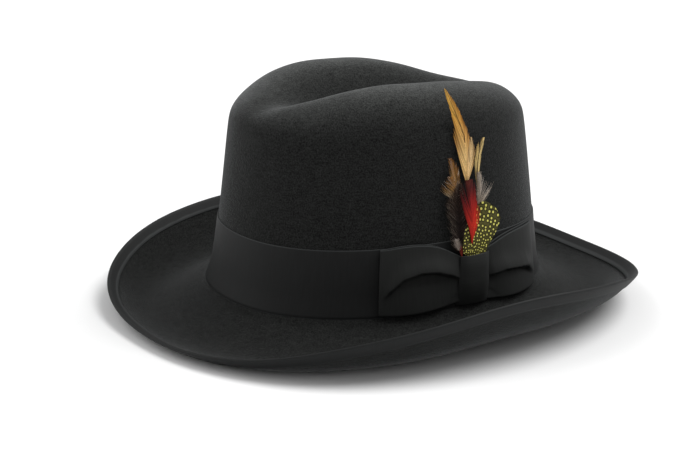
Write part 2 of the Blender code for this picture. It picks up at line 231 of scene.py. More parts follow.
BAND_LEVELS = 2
BAND_DARK = "#0c0d0d"
BAND_LIGHT = "#141515"
# The band's edge tone is a painted highlight along its top and foot.
BAND_EDGE_HIGHLIGHT = "#2c2e2e"
RIBBON_SHEEN = "#777b7e"
RIBBON_ROUGHNESS = 0.62
RIB_PITCH = 1.1 * MM
RIB_DEPTH = 0.03 * MM
THREAD_SIZE = 1.3 * MM
THREAD_STRETCH = 0.08
CREASE_SIZE = 18.0 * MM
CREASE_DEPTH = 0.6 * MM
# Width of the painted highlight along a ribbon's edges, and the share of it at full strength.
HIGHLIGHT_WIDTH = 0.8 * MM
HIGHLIGHT_FULL = 0.4
EDGE_ANGLE = math.radians(50)
EDGE_HOLD = 0.75
ROUND_THE_HAT = 200.0 * MM

# The crown's wall, met by rays from outside its widest place and inside the curled brim. Places on
# it are given across from the bow's middle, up from the break between crown and brim, and outwards.
BOW_ANGLE = math.radians(96.3)
BOW_RADIUS = 91.0 * MM
BREAK_HEIGHT = 17.7 * MM
CROWN_SHIFT = 2.3 * MM
RAY_START = 110.0 * MM
WALL_FOOT = 3.0 * MM

# The break rises and falls round the hat. The band is drawn close to the crown above it, and stands
# off at the foot, most at the front.
BREAK_WAVE = 1.2 * MM
CLOSE = 0.45
CLOSE_HEIGHT = 10.0 * MM
FLARE_OUT = 1.6 * MM
FLARE_HEIGHT = 14.0 * MM

shell = BVHTree.FromPolygons(
    [v.co for v in felt.data.vertices], [f.vertices for f in felt.data.polygons]
)


def hold_edges(piece):
    """Keeps the ribbon's woven edges firm when it is subdivided."""
    bpy.ops.object.mode_set(mode="EDIT")
    bpy.ops.mesh.select_mode(type="EDGE")
    bpy.ops.mesh.select_all(action="DESELECT")
    bpy.ops.mesh.edges_select_sharp(sharpness=EDGE_ANGLE)
    bpy.ops.transform.edge_crease(value=EDGE_HOLD)
    bpy.ops.object.mode_set(mode="OBJECT")


def lay_ribs(piece, upright):
    """A UV map in metres along the ribbon and across it. An upright ribbon runs up the crown."""
    layer = piece.data.uv_layers.new(name="ribbon")
    piece.data.uv_layers.active = layer
    low, high = (Vector(corner) for corner in (piece.bound_box[0], piece.bound_box[6]))
    closed = high.x - low.x > ROUND_THE_HAT
    middle = (low + high) / 2 if closed else Vector((0.0, 0.0, 0.0))
    reach = (high.x - low.x) / 2 if closed else high.x
    turn = round(math.tau * reach / RIB_PITCH)
    for face in piece.data.polygons:
        places = [piece.data.vertices[v].co for v in face.vertices]
        angles = [math.atan2(p.y - middle.y, p.x - middle.x) for p in places]
        if max(angles) - min(angles) > math.pi:
            angles = [a + math.tau if a < 0 else a for a in angles]
        for corner, p, a in zip(face.loop_indices, places, angles):
            along = a / math.tau * turn * RIB_PITCH
            layer.data[corner].uv = (p.z, along) if upright else (along, p.z)


def soft_ribbon(node, name, levels, upright=False):
    """A smooth ribbon from a CAD node, with firm edges and the map for its ribs."""
    ribbon = soft_copy(node, name)
    hold_edges(ribbon)
    subdivide(ribbon, levels)
    lay_ribs(ribbon, upright)
    return ribbon


def wall(across, up):
    """Point and normal of the crown's wall: across from the bow's middle to the back, up from the break."""
    angle = BOW_ANGLE + across / BOW_RADIUS
    away = Vector((math.sin(angle), -math.cos(angle), 0.0))
    centre = Vector((0.0, CROWN_SHIFT, BREAK_HEIGHT + up))
    hit, normal, _, _ = shell.ray_cast(centre + away * RAY_START, -away)
    return hit, normal


def on_crown(point):
    """Across, up and out of a point beside the crown, with the normal of the wall behind it."""
    away = Vector((point.x, point.y - CROWN_SHIFT))
    angle = math.atan2(away.x, -away.y)
    across = (angle - BOW_ANGLE) * BOW_RADIUS
    up = point.z - BREAK_HEIGHT
    hit, normal = wall(across, max(up, WALL_FOOT))
    out = away.length - math.hypot(hit.x, hit.y - CROWN_SHIFT)
    return across, up, out, Vector((normal.x, normal.y, 0.0)).normalized()


def mark_highlit_edges(ribbon, distances):
    """Gives the material each point's distance from the nearest edge that gets a painted highlight."""
    edge = ribbon.data.attributes.new("edge", "FLOAT", "POINT")
    edge.data.foreach_set("value", distances)


def fit_band(band):
    """Draws the band close to the crown, flares its foot over the brim and marks its top and foot for the
    painted highlight.
    """
    heights = []
    for vertex in band.data.vertices:
        across, up, out, away = on_crown(vertex.co)
        up += BREAK_WAVE * math.cos(2 * (across / BOW_RADIUS + BOW_ANGLE))
        heights.append(up)
        close = min(max((up - WALL_FOOT) / CLOSE_HEIGHT, 0.0), 1.0)
        forward = (1 + math.cos(across / BOW_RADIUS + BOW_ANGLE)) / 2
        flare = FLARE_OUT * forward * max((FLARE_HEIGHT - up) / FLARE_HEIGHT, 0.0) ** 2
        vertex.co += away * (flare - CLOSE * close * out)
    foot = min(heights)
    top = max(heights)
    mark_highlit_edges(band, [min(up - foot, top - up) for up in heights])


# Rayon grosgrain is a soft silky black with a dull shine across its ribs. A painted highlight runs
# along its edges, where the threads turn round, and steaming leaves it slightly uneven. Its ribs are
# about 0.5 mm apart, too fine to show here, so they are drawn 1.1 mm apart, with threads to match.
def ribbon_material(name, dark, light, edge):
    """Woven ribbon between two tones, with a painted highlight in a third tone along its edges."""
    look, tree, shader = start_material(name, RIBBON_ROUGHNESS)
    weave = add(tree, "ShaderNodeUVMap", {"uv_map": "ribbon"}).outputs[0]
    across = add(tree, "ShaderNodeSeparateXYZ", inputs={0: weave}).outputs[0]
    turns = add(tree, "ShaderNodeMath", {"operation": "MULTIPLY"}, {0: across, 1: math.tau / RIB_PITCH})
    rib = add(tree, "ShaderNodeMath", {"operation": "SINE"}, {0: turns.outputs[0]})
    place = add(tree, "ShaderNodeTexCoord").outputs["Object"]
    stretch = add(
        tree,
        "ShaderNodeMapping",
        inputs={"Vector": weave, "Scale": (1.0, THREAD_STRETCH, 1.0)},
    )
    threads = add(
        tree,
        "ShaderNodeTexNoise",
        inputs={"Vector": stretch.outputs[0], "Scale": 1 / THREAD_SIZE, "Detail": 2.0},
    )
    creases = add(tree, "ShaderNodeTexNoise", inputs={"Vector": place, "Scale": 1 / CREASE_SIZE})
    shade = add(
        tree,
        "ShaderNodeMapRange",
        inputs={"Value": threads.outputs[0], "From Min": 0.1, "From Max": 0.9},
    )
    tone = add(
        tree,
        "ShaderNodeMix",
        {"data_type": "RGBA"},
        {0: shade.outputs[0], 6: linear(dark), 7: linear(light)},
    )
    # Painted highlight: a lighter tone laid along the ribbon's edges.
    inside = add(tree, "ShaderNodeAttribute", {"attribute_name": "edge"}).outputs["Fac"]
    edge_highlight = add(
        tree,
        "ShaderNodeMapRange",
        inputs={"Value": inside, "From Min": HIGHLIGHT_WIDTH, "From Max": HIGHLIGHT_FULL * HIGHLIGHT_WIDTH},
    )
    highlighted = add(
        tree,
        "ShaderNodeMix",
        {"data_type": "RGBA"},
        {0: edge_highlight.outputs[0], 6: tone.outputs[2], 7: linear(edge)},
    )
    tree.links.new(highlighted.outputs[2], shader.inputs["Base Color"])
    soft = add(
        tree,
        "ShaderNodeBump",
        inputs={"Height": creases.outputs[0], "Strength": 0.35, "Distance": CREASE_DEPTH},
    )
    ribs = add(
        tree,
        "ShaderNodeBump",
        inputs={"Height": rib.outputs[0], "Strength": 0.2, "Distance": RIB_DEPTH, "Normal": soft.outputs[0]},
    )
    tree.links.new(ribs.outputs[0], shader.inputs["Normal"])
    shader.inputs["Specular IOR Level"].default_value = 0.2
    shader.inputs["Sheen Weight"].default_value = 0.06
    shader.inputs["Sheen Roughness"].default_value = 0.35
    shader.inputs["Sheen Tint"].default_value = linear(RIBBON_SHEEN)
    return look


band = soft_ribbon("hat_band", "band", BAND_LEVELS)
fit_band(band)
band.data.materials.append(ribbon_material("black rayon grosgrain", BAND_DARK, BAND_LIGHT, BAND_EDGE_HIGHLIGHT))
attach(band, "root")
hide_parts("hat_band")

# Binding: a narrow grosgrain ribbon folded over the rim all round, steamed to its curl and sewn
# through near both edges. It lies close to the felt, and its legs are drawn a little wider than the
# CAD's. A painted highlight runs along its upper edge, and the fold over the rim takes a soft shine.

BINDING_LEVELS = 2
BINDING_DARK = "#121313"
BINDING_LIGHT = "#1a1b1b"
# The binding's edge tone is a painted highlight along its upper edge.
BINDING_EDGE_HIGHLIGHT = "#343636"
HAT_MIDDLE = 2.3 * MM
HUG = 0.42
LEG_WIDTH = 6.4 * MM
WIDEN = 2.2 * MM
UNDER_SLOPE = 0.5
RIM_SLICES = 180


def hug_felt(binding):
    """Lays the binding close to the felt as the sewn ribbon lies, widens it and marks its upper edge for a
    painted highlight.
    """
    middle = Vector((0.0, HAT_MIDDLE, 0.0))
    turns = []
    reaches = []
    for vertex in binding.data.vertices:
        away = vertex.co - middle
        turns.append(math.atan2(away.x, -away.y))
        reaches.append(math.hypot(away.x, away.y))
    rim = [0.0] * RIM_SLICES
    for turn, reach in zip(turns, reaches):
        k = int((turn / math.tau + 0.5) * RIM_SLICES) % RIM_SLICES
        rim[k] = max(rim[k], reach)
    distances = []
    for vertex, turn, reach in zip(binding.data.vertices, turns, reaches):
        place = (turn / math.tau + 0.5) * RIM_SLICES - 0.5
        low = math.floor(place)
        here, ahead = rim[low % RIM_SLICES], rim[(low + 1) % RIM_SLICES]
        edge = here + (ahead - here) * (place - low)
        inward = min(max((edge - reach) / LEG_WIDTH, 0.0), 1.0)
        near, normal, _, _ = shell.find_nearest(vertex.co)
        lift = (vertex.co - near) * HUG
        inner = Vector((-math.sin(turn), math.cos(turn), 0.0 if normal.z > 0 else -UNDER_SLOPE))
        near, _, _, _ = shell.find_nearest(near + inner * WIDEN * inward)
        vertex.co = near + lift
        # Only the upper leg gets the painted highlight; the lower leg, in shade, gets none.
        distances.append((1 - inward) * LEG_WIDTH if normal.z > 0 else LEG_WIDTH)
    mark_highlit_edges(binding, distances)


binding = soft_ribbon("brim_binding", "binding", BINDING_LEVELS)
hug_felt(binding)
binding.data.materials.append(
    ribbon_material("black grosgrain binding", BINDING_DARK, BINDING_LIGHT, BINDING_EDGE_HIGHLIGHT)
)
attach(binding, "root")
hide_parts("brim_binding")

# Bow: two flat loops of the band's grosgrain, each folded lengthwise into a soft roll over a hollow,
# and a short upright piece wrapped over their middle. It is stitched flat to the band. Its ribbon is
# painted a little lighter than the band's, as painted light on the bow's faces.

BOW_LEVELS = 3
# Painted light: the bow's tones are set lighter than the band's for the light its faces catch.
BOW_LIT_DARK = "#161716"
BOW_LIT_LIGHT = "#1e1f1e"
# The bow's edge tone is a painted highlight along the loops' lit edges.
BOW_EDGE_HIGHLIGHT = "#2c2e2e"
RIBBON_THICK = 1.0 * MM

# A loop's outer layer stands off the band: in the hollow under the fold, on the roll over it, at its
# top edge and at its foot, with the lengths over which one turns into the other.
OUTER_LAYER = 3.3 * MM
HOLLOW_OUT = 4.4 * MM
ROLL_OUT = 4.2 * MM
TOP_OUT = 1.0 * MM
FOOT_OUT = 1.8 * MM
FOOT_FADE = 16.0 * MM
FOLD_EDGE = 0.7 * MM
ROLL_HEIGHT = 8.0 * MM
CURL_RISE = 1.4 * MM
CURL_SIZE = 4.0 * MM
EASE = 1.5
TOP_STEPS = 30

KNOT_MIDDLE = 17.0 * MM
KNOT_HALF = 15.0 * MM
KNOT_SINK = 2.4 * MM
KNOT_ROUND = 1.3 * MM
NO_HIGHLIGHT = 1.0

# Row of the fold along a loop, from its outer end to the knot: the height of the fold over the break
# and how much of its full relief it has there.
Fold = namedtuple("Fold", "along height relief")
FRONT_FOLD = (
    Fold(0.00, 12.0 * MM, 0.00),
    Fold(0.05, 14.0 * MM, 0.25),
    Fold(0.12, 18.5 * MM, 0.75),
    Fold(0.24, 23.8 * MM, 1.00),
    Fold(0.44, 26.5 * MM, 1.00),
    Fold(0.62, 26.0 * MM, 1.00),
    Fold(0.82, 22.5 * MM, 0.60),
    Fold(1.00, 18.0 * MM, 0.10),
)
REAR_FOLD = (
    Fold(0.00, 8.0 * MM, 0.00),
    Fold(0.15, 11.0 * MM, 0.45),
    Fold(0.30, 16.0 * MM, 0.85),
    Fold(0.42, 17.6 * MM, 1.00),
    Fold(0.72, 19.5 * MM, 1.00),
    Fold(0.90, 18.5 * MM, 0.65),
    Fold(1.00, 17.5 * MM, 0.15),
)

# Where a loop ends across the crown, outside and at the knot, and how far its outer end is drawn out.
LoopEnds = namedtuple("LoopEnds", "folds outer knot stretch")
FRONT_ENDS = LoopEnds(FRONT_FOLD, outer=-58.3 * MM, knot=-7.75 * MM, stretch=0.0)
REAR_ENDS = LoopEnds(REAR_FOLD, outer=53.0 * MM, knot=7.75 * MM, stretch=2.6 * MM)


def look_up(rows, key, column, at):
    """The value of a column where the key has a given value, in between the rows."""
    places = [getattr(row, key) for row in rows]
    values = [getattr(row, column) for row in rows]
    return float(np.interp(at, places, values))


def loop_relief(up, fold):
    """How far the loop's face stands over its hollow: a roll that ends sharply in the fold."""
    if up > fold:
        return TOP_OUT + (ROLL_OUT - TOP_OUT) * math.exp(-(((up - fold) / ROLL_HEIGHT) ** 2))
    below = fold - up
    return ROLL_OUT * math.exp(-below / FOLD_EDGE) + FOOT_OUT * (below / fold) ** 2


def press_loop(loop, ends):
    """Folds the loop's outer layer: a soft roll above, pressed in below, with a curled lower corner."""
    lowest = min(v.co.z for v in loop.data.vertices) - BREAK_HEIGHT
    moves = []
    for vertex in loop.data.vertices:
        across, up, out, away = on_crown(vertex.co)
        along = min(max((across - ends.outer) / (ends.knot - ends.outer), 0.0), 1.0)
        shift = 0.0
        if out > OUTER_LAYER:
            fold = look_up(ends.folds, "along", "height", along)
            relief = look_up(ends.folds, "along", "relief", along)
            face = out if vertex.normal.dot(away) > 0 else out + RIBBON_THICK
            shift = relief * (HOLLOW_OUT + loop_relief(up, fold) - face)
            corner = abs(across - ends.outer) + max(up - lowest, 0.0)
            shift += CURL_RISE * math.exp(-((corner / CURL_SIZE) ** 2))
            shift *= min(max((up - lowest) / FOOT_FADE, 0.0), 1.0) ** EASE
        aside = Vector((-away.y, away.x, 0.0)) * ends.stretch * (1 - along) ** 2
        moves.append(away * shift + aside)
    for vertex, move in zip(loop.data.vertices, moves):
        vertex.co += move


def loop_highlit_edges(loop, ends):
    """Distances for the painted highlight: from the loop's top edge and, at the back, from its turned outer
    end.
    """
    across, up = np.array([on_crown(v.co)[:2] for v in loop.data.vertices]).T
    bounds = np.linspace(across.min(), across.max(), TOP_STEPS + 1)
    step = np.clip(np.digitize(across, bounds) - 1, 0, TOP_STEPS - 1)
    tops = [up[step == k].max() for k in range(TOP_STEPS)]
    from_top = np.interp(across, (bounds[:-1] + bounds[1:]) / 2, tops) - up
    from_end = np.abs(across - ends.outer) if ends.stretch else from_top
    return np.minimum(from_top, from_end)


def round_knot(knot):
    """Rounds the knot over its width and lets its foot sink between the loops."""
    spread = [on_crown(v.co)[0] for v in knot.data.vertices]
    half = (max(spread) - min(spread)) / 2
    middle = (max(spread) + min(spread)) / 2
    for vertex, across in zip(knot.data.vertices, spread):
        _, up, out, away = on_crown(vertex.co)
        low = min(max((KNOT_MIDDLE - up) / KNOT_HALF, -1.0), 1.0)
        side = (across - middle) / half
        vertex.co -= away * (KNOT_SINK * max(low, 0.0) ** EASE + KNOT_ROUND * side**4)


lit_bow_ribbon = ribbon_material("black rayon bow ribbon", BOW_LIT_DARK, BOW_LIT_LIGHT, BOW_EDGE_HIGHLIGHT)
for node, name, ends in (
    ("bow_front_loop", "front_loop", FRONT_ENDS),
    ("bow_rear_loop", "rear_loop", REAR_ENDS),
):
    loop = soft_ribbon(node, name, BOW_LEVELS)
    # Painted highlight along the loop's top edge, and along the rear loop's outer end, which catches the
    # light.
    mark_highlit_edges(loop, loop_highlit_edges(loop, ends))
    press_loop(loop, ends)
    loop.data.materials.append(lit_bow_ribbon)
    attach(loop, "root")
    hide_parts(node)

knot = soft_ribbon("bow_knot", "knot", BOW_LEVELS, upright=True)
round_knot(knot)
# The knot gets no painted highlight.
mark_highlit_edges(knot, [NO_HIGHLIGHT] * len(knot.data.vertices))
knot.data.materials.append(lit_bow_ribbon)
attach(knot, "root")
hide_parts("bow_knot")

# Long gold hackle, the first of the spray: a cock's neck feather, tied at the foot to the others and
# pushed down behind the knot. From here on a vane is a table in mm of its shaft and two edges on the
# crown, and its barbs are laid one by one, since no operator gives a vane's loose, ragged edge.

STRAIGHT_FOOT = 60.0 * MM
STRAIGHT_TOP = 88.0 * MM
BARB_STREAK = 0.5 * MM

# How one barb differs from the next: its root's place, its pull towards its lock and its reach, the
# stray and lift of fluff in mm, its sag, its lift over the vane and how bright its lock is.
LAST_SHARE = 0.995
ROOT_SPREAD = 0.3
AIM_STEPS = 4
AIM_START = 2.0
AIM_RISE = 0.6
PULL = (0.6, 1.0)
REACH = (-0.8, 0.5)
REACH_MIDDLE = 0.6
FLUFF_REACH = (-0.5, 0.6)
FLUFF_STRAY = 2.2
FLUFF_BEND = 2.0
FLUFF_LIFT = (-0.3, 4.0)
SAG = 0.06
LIFT = 0.12
ROOT_LIFT = 0.15
TIP_DROP = 0.35
LOWEST = 0.4
BARB_TAPER = 0.75
LOCK_DARK = 0.78
LOCK_RANGE = 0.44
SHAFT_STEPS = 20
SHAFT_LIFT = 0.35
SHAFT_TAPER = 0.7
SWELL_START = 0.15

Vane = namedtuple("Vane", "up left shaft right")
Tint = namedtuple("Tint", "share left middle right")


def beside_crown(across, up, out):
    """Point at a distance out of the wall, which feathers follow straight up past the rounded shoulder."""
    hit, normal = wall(across, min(up, STRAIGHT_TOP))
    if up > STRAIGHT_TOP:
        below, _ = wall(across, STRAIGHT_FOOT)
        hit = hit + (hit - below) * (up - STRAIGHT_TOP) / (STRAIGHT_TOP - STRAIGHT_FOOT)
    return hit + normal * out


def tint(rows, share, side):
    """Colour of a vane at a share of its height, side from -1 (left edge) over 0 to 1 (right edge)."""
    places = [row.share for row in rows]
    mixed = []
    for channel in range(3):
        left, middle, right = (
            np.interp(share, places, [linear(getattr(row, column))[channel] for row in rows])
            for column in ("left", "middle", "right")
        )
        mixed.append(float(np.interp(side, (-1, 0, 1), (left, middle, right))))
    return mixed


class Strips:
    """Collects the thin strips of one feather: its points, faces, colours and places on the vane."""

    def __init__(self):
        self.points = []
        self.faces = []
        self.colours = []
        self.places = []

    def strip(self, middle, widths, colours):
        """A strip along a line of (across, up, out) places in mm."""
        first = len(self.points)
        for k, (across, up, out) in enumerate(middle):
            before = middle[max(k - 1, 0)]
            after = middle[min(k + 1, len(middle) - 1)]
            step = np.array([after[0] - before[0], after[1] - before[1]])
            step = step / max(float(np.hypot(*step)), 1e-6)
            for side in (-0.5, 0.5):
                x = across - step[1] * widths[k] * side
                y = up + step[0] * widths[k] * side
                self.points.append(beside_crown(x * MM, y * MM, out * MM))
                self.colours.append((*colours[k], 1.0))
                self.places.append((x * MM, y * MM))
        for k in range(len(middle) - 1):
            a = first + 2 * k
            self.faces.append((a, a + 1, a + 3, a + 2))

    def patch(self, vane, tints, *, out, swell, rows, columns):
        """A closed vane between its two edges, swelling out a little along its middle."""
        first = len(self.points)
        foot = vane[0].up
        tip = vane[-1].up
        for row in range(rows + 1):
            share = row / rows
            up = foot + (tip - foot) * share
            left = look_up(vane, "up", "left", up)
            right = look_up(vane, "up", "right", up)
            for column in range(columns + 1):
                side = 2 * column / columns - 1
                across = left + (right - left) * (side + 1) / 2
                lift = out + swell * (1 - side**2) * math.sin(math.pi * min(share + SWELL_START, 1.0))
                self.points.append(beside_crown(across * MM, up * MM, lift * MM))
                self.colours.append((*tint(tints, share, side), 1.0))
                self.places.append((across * MM, up * MM))
        for row in range(rows):
            for column in range(columns):
                a = first + row * (columns + 1) + column
                self.faces.append((a, a + 1, a + columns + 2, a + columns + 1))

    def finish(self, name, node, look):
        """Makes the strips one piece that stands for its CAD node."""
        mesh = bpy.data.meshes.new(name)
        mesh.from_pydata(self.points, [], self.faces)
        colour = mesh.color_attributes.new("barb_colour", "FLOAT_COLOR", "POINT")
        colour.data.foreach_set("color", np.array(self.colours, np.float32).ravel())
        layer = mesh.uv_layers.new(name="vane")
        for corner, vertex in enumerate(mesh.loops):
            layer.data[corner].uv = self.places[vertex.vertex_index]
        mesh.materials.append(look)
        piece = bpy.data.objects.new(name, mesh)
        bpy.context.scene.collection.objects.link(piece)
        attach(piece, "root")
        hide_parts(node)
        return piece


def barbs(strips, vane, tints, *, out, count, lean, width, seed, lock=7, clump=0.5, ragged=0.12,
          fluff=0.0, segments=3, streak=(0.75, 1.2), pale=None, pale_share=0.0):
    """Fills a vane with barbs from its shaft to its two edges, gathered into locks.

    A side has count barbs, width mm wide and out mm off the crown, at lean degrees to the shaft.
    lock is how many barbs cling together and clump how closely, ragged how unevenly they end and
    fluff how far they stray. streak is the range of their brightness. pale_share of the locks have
    tips bleached to pale.
    """
    rng = np.random.default_rng(seed)
    foot = vane[0].up
    tip = vane[-1].up

    def aim(share, side):
        """Root and end of a barb whose root is at a share of the shaft."""
        root_up = foot + (tip - foot) * share
        root = look_up(vane, "up", "shaft", root_up)
        column = "left" if side < 0 else "right"
        rise = AIM_START
        for _ in range(AIM_STEPS):
            end_up = min(root_up + rise, tip)
            end = look_up(vane, "up", column, end_up)
            half = abs(end - look_up(vane, "up", "shaft", end_up))
            rise = half / math.tan(math.radians(lean)) + AIM_RISE
        return np.array([root, root_up]), np.array([end, end_up])

    for side in (-1, 1):
        bleached = rng.uniform(0, 1, count // lock + 2) < pale_share
        loose = rng.uniform(0.0, 1.0, count // lock + 2)
        for k in range(count):
            share = (k + rng.uniform(-ROOT_SPREAD, ROOT_SPREAD)) / count
            share = min(max(share, 0.0), LAST_SHARE)
            centre = min((k // lock + 0.5) * lock / count, LAST_SHARE)
            root, end = aim(share, side)
            _, gathered = aim(centre, side)
            pull = clump * rng.uniform(*PULL)
            end = end * (1 - pull) + gathered * pull
            reach = 1 + ragged * (1 - share) * (rng.uniform(*REACH) + loose[k // lock] - REACH_MIDDLE)
            reach += fluff * rng.uniform(*FLUFF_REACH)
            end = root + (end - root) * reach
            end += fluff * rng.uniform(-1.0, 1.0, 2) * FLUFF_STRAY
            end[1] = min(end[1], tip + fluff)
            bend = root + (end - root) * 0.5 + np.array([side * SAG, -SAG]) * abs(end[0] - root[0])
            bend += fluff * rng.uniform(-1.0, 1.0, 2) * FLUFF_BEND
            rise_out = rng.uniform(-LIFT, LIFT) + fluff * rng.uniform(*FLUFF_LIFT)
            middle = []
            widths = []
            colours = []
            glow = rng.uniform(*streak) * (LOCK_DARK + LOCK_RANGE * loose[k // lock])
            for step in range(segments + 1):
                t = step / segments
                p = root * (1 - t) ** 2 + bend * 2 * t * (1 - t) + end * t * t
                lift = out + ROOT_LIFT - TIP_DROP * t + rise_out * t
                middle.append((p[0], p[1], max(lift, LOWEST)))
                widths.append(width * (1 - BARB_TAPER * t**2))
                up_share = (p[1] - foot) / (tip - foot)
                colour = np.array(tint(tints, up_share, side * t)) * glow
                if pale and bleached[k // lock]:
                    colour = colour * (1 - t**3) + np.array(linear(pale)[:3]) * t**3
                colours.append(colour)
            strips.strip(middle, widths, colours)


def shaft(strips, vane, *, out, colour, width, start, end):
    """The feather's quill, from a share of its height to another, thinner towards the tip."""
    foot = vane[0].up
    tip = vane[-1].up
    line = []
    widths = []
    for share in np.linspace(start, end, SHAFT_STEPS):
        up = foot + (tip - foot) * share
        line.append((look_up(vane, "up", "shaft", up), up, out + SHAFT_LIFT))
        widths.append(width * (1 - SHAFT_TAPER * share))
    strips.strip(line, widths, [linear(colour)[:3]] * len(line))


# A feather is keratin: barbs with a soft dull shine, each its own tone, darker in the gaps between
# the locks. Real barbs are under 0.1 mm wide, so streaks of 0.5 mm stand for them on every strip.
def barb_material(name, roughness):
    """Look of a feather from the colours of its barbs, streaked across."""
    look, tree, shader = start_material(name, roughness)
    colour = add(tree, "ShaderNodeVertexColor", {"layer_name": "barb_colour"})
    vane = add(tree, "ShaderNodeUVMap", {"uv_map": "vane"}).outputs[0]
    fine = add(tree, "ShaderNodeTexNoise", inputs={"Vector": vane, "Scale": 1 / BARB_STREAK, "Detail": 2.0})
    glow = add(
        tree,
        "ShaderNodeMapRange",
        inputs={"Value": fine.outputs[0], "From Min": 0.3, "From Max": 0.7, "To Min": 0.8, "To Max": 1.2},
    )
    shade = add(
        tree,
        "ShaderNodeVectorMath",
        {"operation": "SCALE"},
        {0: colour.outputs[0], "Scale": glow.outputs[0]},
    )
    tree.links.new(shade.outputs[0], shader.inputs["Base Color"])
    shader.inputs["Specular IOR Level"].default_value = 0.1
    return look, tree, shader, shade


LONG_VANE = (
    Vane(73.5, -2.2, -0.5, 1.8),
    Vane(78.0, -4.5, -0.3, 4.1),
    Vane(85.0, -6.3, 0.0, 5.7),
    Vane(92.0, -7.4, 0.3, 6.0),
    Vane(96.0, -7.6, 0.4, 5.5),
    Vane(101.0, -7.4, 0.0, 4.1),
    Vane(105.5, -7.5, -1.6, 2.5),
    Vane(110.0, -7.7, -3.5, 0.6),
    Vane(117.0, -9.3, -6.8, -2.7),
    Vane(121.0, -10.8, -8.7, -5.4),
    Vane(124.7, -12.3, -10.6, -8.0),
    Vane(127.4, -12.9, -11.9, -10.5),
    Vane(130.0, -13.5, -13.2, -12.9),
)
LONG_TINTS = (
    Tint(0.0, "#a8844c", "#c8a266", "#b88f54"),
    Tint(0.25, "#8a6634", "#d8b478", "#c49a5c"),
    Tint(0.45, "#8c6230", "#c89e5e", "#b08044"),
    Tint(0.65, "#a8762e", "#c8964a", "#a46e2c"),
    Tint(0.85, "#c8963e", "#dcae5a", "#b07a30"),
    Tint(1.0, "#d8a84c", "#e4bc6c", "#c89444"),
)
long_hackle = Strips()
barbs(long_hackle, LONG_VANE, LONG_TINTS, out=2.2, count=300, lean=17, width=0.42, seed=11,
      lock=7, clump=0.45, ragged=0.16, streak=(0.62, 1.3))
shaft(long_hackle, LONG_VANE, out=2.2, colour="#3a2410", width=0.75, start=0.42, end=1.0)
gold_barbs = barb_material("natural gold hackle", 0.6)[0]
long_hackle.finish("gold_hackle", "hackle_long", gold_barbs)

# Cream hackle: a paler cock's feather under the long one, natural in colour and with no quill in
# sight. It is fixed with the others behind the knot and looks dull, with fine light and dark streaks.

CREAM_VANE = (
    Vane(74.0, -1.0, 0.3, 1.7),
    Vane(76.0, -0.7, 0.5, 3.0),
    Vane(81.0, 0.0, 2.3, 5.3),
    Vane(87.5, 1.2, 4.4, 7.4),
    Vane(94.0, 2.8, 5.9, 8.2),
    Vane(97.0, 4.0, 5.8, 7.4),
    Vane(99.9, 5.3, 5.5, 5.7),
)
CREAM_TINTS = (
    Tint(0.0, "#b8945c", "#d4ae74", "#a88450"),
    Tint(0.5, "#c49e68", "#dcba86", "#9c7a48"),
    Tint(1.0, "#c8a676", "#d8ba88", "#b49468"),
)
cream_hackle = Strips()
barbs(cream_hackle, CREAM_VANE, CREAM_TINTS, out=2.5, count=130, lean=15, width=0.36, seed=12,
      lock=6, clump=0.45, ragged=0.3, streak=(0.6, 1.25))
cream_barbs = barb_material("natural cream hackle", 0.6)[0]
cream_hackle.finish("cream_hackle", "hackle_cream", cream_barbs)

# Pale gold hackle: a narrow cock's feather that leans to the back, with a dark quill down its middle.
# It is fixed as the others are. Its foot is greenish brown and its loose tip a light, dull gold.

PALE_VANE = (
    Vane(69.6, 6.9, 7.4, 8.0),
    Vane(75.5, 6.6, 7.5, 9.2),
    Vane(82.3, 6.2, 8.3, 10.6),
    Vane(89.6, 7.4, 10.2, 12.4),
    Vane(94.5, 9.8, 13.0, 15.0),
    Vane(96.5, 12.0, 14.4, 15.7),
    Vane(98.2, 15.0, 15.9, 16.3),
)
PALE_TINTS = (
    Tint(0.0, "#7c6a48", "#a08c60", "#8a7850"),
    Tint(0.5, "#c0a468", "#d8bc7c", "#b8a06c"),
    Tint(1.0, "#c8a662", "#dcc084", "#c8b078"),
)
pale_hackle = Strips()
barbs(pale_hackle, PALE_VANE, PALE_TINTS, out=3.0, count=120, lean=16, width=0.34, seed=13,
      lock=5, clump=0.45, ragged=0.3, fluff=0.05, streak=(0.6, 1.25))
shaft(pale_hackle, PALE_VANE, out=3.0, colour="#3a2812", width=0.8, start=0.1, end=0.95)
pale_barbs = barb_material("natural pale hackle", 0.6)[0]
pale_hackle.finish("pale_hackle", "hackle_side", pale_barbs)

# Small gold hackle: a short brown-gold feather towards the front, fixed as the others are. Its upper
# half clings together, and its foot is loose fluff that is bleached and stands out to the left.

SMALL_VANE = (
    Vane(67.0, -11.6, -8.7, -8.0),
    Vane(72.0, -17.0, -8.4, -6.2),
    Vane(76.0, -15.2, -8.0, -5.9),
    Vane(81.0, -13.4, -9.0, -6.5),
    Vane(85.0, -13.6, -10.4, -8.2),
    Vane(89.4, -12.5, -12.0, -11.6),
)
SMALL_TINTS = (
    Tint(0.0, "#cdc2b2", "#94836e", "#5a4834"),
    Tint(0.28, "#b8a68c", "#8c7250", "#5c4630"),
    Tint(0.5, "#8c6a3e", "#946a38", "#6a4620"),
    Tint(1.0, "#7a4e22", "#a06c34", "#70481e"),
)
SMALL_FLUFF = (
    Vane(63.5, -11.5, -9.0, -8.2),
    Vane(68.0, -16.5, -9.2, -7.6),
    Vane(72.0, -18.4, -9.6, -7.6),
    Vane(75.5, -17.2, -10.2, -8.6),
    Vane(79.0, -14.0, -11.4, -10.4),
)
small_hackle = Strips()
